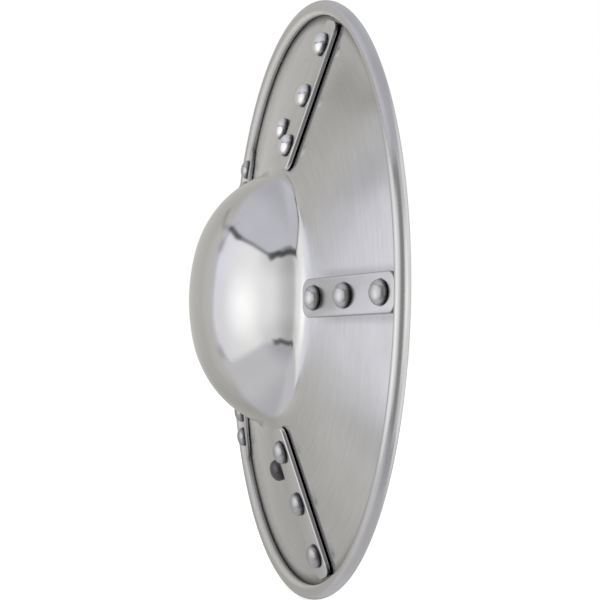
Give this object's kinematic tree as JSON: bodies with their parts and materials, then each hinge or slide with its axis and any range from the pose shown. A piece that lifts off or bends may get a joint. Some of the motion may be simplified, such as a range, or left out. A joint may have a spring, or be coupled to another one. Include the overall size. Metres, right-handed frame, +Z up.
{
  "type": "buckler",
  "caption": "Round steel buckler with a domed boss, an edge rolled round a wire, riveted radial straps on its face and a wood-scaled grip bar across the hollow behind.",
  "frame": {"origin": "middle of the hand grip, at the middle of its length, width and depth", "axes": "+Z up along the grip, -Y the way the boss points, +X to the right when the face is looked at from the front"},
  "size_m": [0.305, 0.0617, 0.305],
  "materials": {
    "shell_steel": "satin brushed dish, polished boss",
    "strap_steel": "brushed along the strap, edges dressed",
    "rivet_steel": "polished dark steel domes",
    "wire_steel": "plain drawn wire",
    "bar_steel": "plain, lightly brushed",
    "grip_wood": "oiled hardwood"
  },
  "bodies": {
    "root": {"shield_shell": "shell_steel", "rim_wire": "wire_steel", "strap_right": "strap_steel", "strap_right_rivet_inner": "rivet_steel", "strap_right_rivet_middle": "rivet_steel", "strap_right_rivet_outer": "rivet_steel", "strap_top": "strap_steel", "strap_top_rivet_inner": "rivet_steel", "strap_top_rivet_middle": "rivet_steel", "strap_top_rivet_outer": "rivet_steel", "strap_left_upper": "strap_steel", "strap_left_upper_rivet_inner": "rivet_steel", "strap_left_upper_rivet_middle": "rivet_steel", "strap_left_upper_rivet_outer": "rivet_steel", "strap_left_lower": "strap_steel", "strap_left_lower_rivet_inner": "rivet_steel", "strap_left_lower_rivet_middle": "rivet_steel", "strap_left_lower_rivet_outer": "rivet_steel", "strap_bottom": "strap_steel", "strap_bottom_rivet_inner": "rivet_steel", "strap_bottom_rivet_middle": "rivet_steel", "strap_bottom_rivet_outer": "rivet_steel", "grip_bar": "bar_steel", "grip_scale_front": "grip_wood", "grip_scale_rear": "grip_wood", "grip_pin_lower": "rivet_steel", "grip_pin_middle": "rivet_steel", "grip_pin_upper": "rivet_steel", "grip_rivet_upper": "rivet_steel", "grip_rivet_lower": "rivet_steel"}
  },
  "joints": []
}
